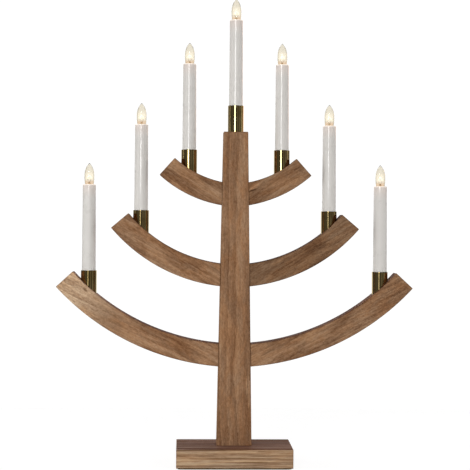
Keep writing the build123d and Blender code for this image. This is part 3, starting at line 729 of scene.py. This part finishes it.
# Small fittings: the solid, its kind of finish, the finish's name, colour, worn colour, roughnesses
for node, kind, name, colour, worn, smooth, rough in (
    ("base_screws", plain_metal, "zinc_steel", (176, 174, 168), (140, 138, 132), 0.25, 0.4),
    ("cord_grommet", moulded, "grommet_rubber", (30, 29, 28), (48, 46, 44), 0.5, 0.7),
    ("terminal_block", moulded, "terminal_plastic", (224, 220, 208), (206, 201, 188), 0.35, 0.5),
    ("wiring", moulded, "wire_sleeve", (222, 220, 214), (204, 200, 192), 0.35, 0.5),
    ("lampholders", moulded, "holder_plastic", (206, 200, 188), (186, 178, 164), 0.4, 0.55),
    ("socket_shells", plain_metal, "shell_brass", (196, 170, 112), (160, 132, 80), 0.22, 0.36),
    ("socket_contacts", plain_metal, "contact_brass", (204, 176, 116), (168, 140, 86), 0.22, 0.36),
):
    dress(node, kind(name, tint(*colour), tint(*worn), smooth, rough))

# Finishes of the candles
solder = plain_metal("solder", tint(190, 190, 188), tint(150, 150, 148), 0.3, 0.5)
cup_brass = polished_brass("cup_brass", tint(194, 172, 118), tint(172, 148, 94), 0.05)
cap_brass = plain_metal("cap_brass", tint(200, 176, 122), tint(164, 138, 88), 0.18, 0.3)
lead_wire = plain_metal("lead_wire", tint(150, 146, 140), tint(118, 114, 108), 0.3, 0.45)
tube_plastic, bulb_glass = candle_plastic(), lit_glass()
mount_finishes = (stem_glass(), lead_wire, glowing_coil())


def stands(skin, name, finishes, body, node):
    """Make a piece, let it ride on its body and stand for its solid."""
    made = skin.piece(name, finishes)
    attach(made, body)
    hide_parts(node)
    return made


felt = Skin()
felt.add(*felt_grid())
felt_sheet = stands(felt, "felt_sheet", [pressed_felt()], "frame", "base_felt")

cap_profile, cap_thread = cap_section()
for candle in CANDLES:
    low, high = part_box(f"cup_{candle}")
    seat = ((low.x + high.x) / 2, (low.y + high.y) / 2, low.z)
    bulb = f"bulb_{candle}"
    cup, tube, glass, cap, mount = Skin(), Skin(), Skin(), Skin(), Skin()
    cup.add(*turned(cup_profile(), seat))
    tube.add(*turned(tube_profile(), seat), closed_rows=True)
    glass.add(*turned(glass_profile(), seat), closed_rows=True)
    cap.add(*turned(cap_profile, seat, thread=cap_thread), closed_rows=True)
    for part in filament_grids(seat):
        mount.add(*part)
    stands(cup, f"brass_cup_{candle}", [cup_brass], "frame", f"cup_{candle}")
    stands(tube, f"candle_sleeve_{candle}", [tube_plastic], "frame",
           f"candle_tube_{candle}")
    stands(glass, f"flame_glass_{candle}", [bulb_glass], bulb, f"bulb_glass_{candle}")
    stands(cap, f"screw_cap_{candle}", [cap_brass], bulb, f"bulb_cap_{candle}")
    stands(mount, f"filament_mount_{candle}", mount_finishes, bulb,
           f"bulb_filament_{candle}")
    dress(f"bulb_contact_{candle}", solder)

# Studio in metres: pale floor, white paper backdrop behind, and a room that is white where it is
# seen and dim as light and in reflections
FLOOR_SIDE, FLOOR_FRONT, FLOOR_BACK = 1.3, -1.1, 1.6
BACKDROP_SIDE, BACKDROP_BACK, BACKDROP_FOOT, BACKDROP_TOP = 0.5, 0.6, 0.001, 1.4
ROOM_SHADE, PAPER_GREY = (0.09, 0.085, 0.08, 1.0), (0.8, 0.8, 0.8, 1.0)
AIM = Vector((0.0, 0.0, 0.3))


def stage_panel(name, corners, material):
    """A flat four-cornered stage surface."""
    mesh = bpy.data.meshes.new(name)
    mesh.from_pydata(corners, [], [(0, 1, 2, 3)])
    mesh.materials.append(material)
    made = bpy.data.objects.new(name, mesh)
    bpy.context.scene.collection.objects.link(made)


def paper(name, own_light, shading, one_sided):
    """White paper that shows its own light plus a little shading, so shadows stay.

    That is how it is seen, mirrored or looked at through glass. It lights other things as plain
    grey paper.
    """
    material = bpy.data.materials.new(name)
    material.use_nodes = True
    tree = material.node_tree
    tree.nodes.clear()
    path = place(tree, "ShaderNodeLightPath").outputs
    seen = maths(tree, "MAXIMUM", path["Is Camera Ray"], path["Is Glossy Ray"])
    seen = maths(tree, "MAXIMUM", seen, path["Is Transmission Ray"])
    plain = place(tree, "ShaderNodeBsdfDiffuse", {"Color": PAPER_GREY}).outputs[0]
    shade = place(tree, "ShaderNodeBsdfDiffuse", {"Color": (*[shading] * 3, 1.0)}).outputs[0]
    light = place(tree, "ShaderNodeEmission", {"Strength": own_light}).outputs[0]
    bright = place(tree, "ShaderNodeAddShader", {0: shade, 1: light}).outputs[0]
    surface = place(tree, "ShaderNodeMixShader", {0: seen, 1: plain, 2: bright}).outputs[0]
    if one_sided:
        behind = place(tree, "ShaderNodeNewGeometry").outputs["Backfacing"]
        clear = place(tree, "ShaderNodeBsdfTransparent").outputs[0]
        surface = place(tree, "ShaderNodeMixShader", {0: behind, 1: surface, 2: clear}).outputs[0]
    place(tree, "ShaderNodeOutputMaterial", {"Surface": surface})
    return material


def softbox(name, azimuth, elevation, distance, size, watts, mirrored=True, colour=WHITE[:3]):
    """A flat soft light aimed at the candlestick's middle, placed by its direction from there.

    None shows through the bulbs' glass, and one that isn't mirrored doesn't show in polished
    surfaces either.
    """
    lamp = bpy.data.lights.new(name, "AREA")
    lamp.shape = "RECTANGLE"
    lamp.size, lamp.size_y = size
    lamp.energy, lamp.color = watts, colour
    made = bpy.data.objects.new(name, lamp)
    bpy.context.scene.collection.objects.link(made)
    turn, rise = math.radians(azimuth), math.radians(elevation)
    level = math.cos(rise)
    out = Vector((math.sin(turn) * level, -math.cos(turn) * level, math.sin(rise)))
    made.location = AIM + out * distance
    made.rotation_euler = (-out).to_track_quat("-Z", "Y").to_euler()
    made.visible_transmission = False
    made.visible_glossy = mirrored


stage_panel("floor", [
    (-FLOOR_SIDE, FLOOR_FRONT, 0), (FLOOR_SIDE, FLOOR_FRONT, 0),
    (FLOOR_SIDE, FLOOR_BACK, 0), (-FLOOR_SIDE, FLOOR_BACK, 0),
], paper("floor_paper", own_light=0.9, shading=0.2, one_sided=False))
stage_panel("backdrop", [
    (-BACKDROP_SIDE, BACKDROP_BACK, BACKDROP_FOOT), (BACKDROP_SIDE, BACKDROP_BACK, BACKDROP_FOOT),
    (BACKDROP_SIDE, BACKDROP_BACK, BACKDROP_TOP), (-BACKDROP_SIDE, BACKDROP_BACK, BACKDROP_TOP),
], paper("backdrop_paper", own_light=1.0, shading=0.05, one_sided=True))

world = bpy.data.worlds.new("studio")
bpy.context.scene.world = world
world.use_nodes = True
room = world.node_tree
rays = place(room, "ShaderNodeLightPath").outputs
seen = maths(room, "MAXIMUM", rays["Is Camera Ray"], rays["Is Transmission Ray"])
feed(room, room.nodes["Background"].inputs["Color"], mixed(room, seen, ROOM_SHADE, WHITE))

# Lights: azimuth and elevation in degrees, distance and size in metres, watts
softbox("key_light", -13.5, 15, 2.6, (0.56, 1.1), 19.0)
softbox("fill_light", 30, 9, 2.4, (1.1, 0.8), 19.0, mirrored=False)
softbox("left_wash", -62, 0, 2.0, (1.0, 1.2), 23.0, mirrored=False)
softbox("right_wash", 80, 0, 2.0, (1.0, 1.2), 10.0, mirrored=False)
softbox("rear_left_wash", -125, 0, 2.0, (1.0, 1.2), 16.0, mirrored=False)
softbox("rear_right_wash", 130, 0, 2.0, (1.0, 1.2), 12.0, mirrored=False)
softbox("low_strip", -13.5, -5, 2.6, (0.2, 0.6), 0.9)
softbox("front_panel", 28, 3, 3.2, (0.3, 1.6), 0.4)
softbox("left_panel", -42, 3, 3.2, (0.25, 1.6), 0.15)
softbox("right_panel", 62, 3, 3.2, (0.35, 1.6), 0.7)
softbox("amber_panel", 136, 14, 2.0, (0.3, 0.5), 1.6, colour=(1.0, 0.55, 0.3))

# Camera at the photograph's viewing angle: metres, degrees, and millimetres of film and lens
VIEW_DISTANCE, VIEW_TURN, VIEW_HEIGHT, VIEW_PITCH, VIEW_ROLL = 1.94, 2.0, 0.302, 0.19, 0.37
FILM_WIDTH, LENS = 36.0, 115.2
camera = bpy.data.objects.new("camera", bpy.data.cameras.new("camera"))
bpy.context.scene.collection.objects.link(camera)
bpy.context.scene.camera = camera
camera.data.sensor_width, camera.data.lens = FILM_WIDTH, LENS
side = math.radians(VIEW_TURN)
camera.location = (-VIEW_DISTANCE * math.sin(side), -VIEW_DISTANCE * math.cos(side), VIEW_HEIGHT)
aim = Matrix.Rotation(-side, 4, "Z") @ Matrix.Rotation(math.radians(90 - VIEW_PITCH), 4, "X")
camera.rotation_euler = (aim @ Matrix.Rotation(math.radians(VIEW_ROLL), 4, "Z")).to_euler()
bpy.context.scene.view_settings.view_transform = "Standard"
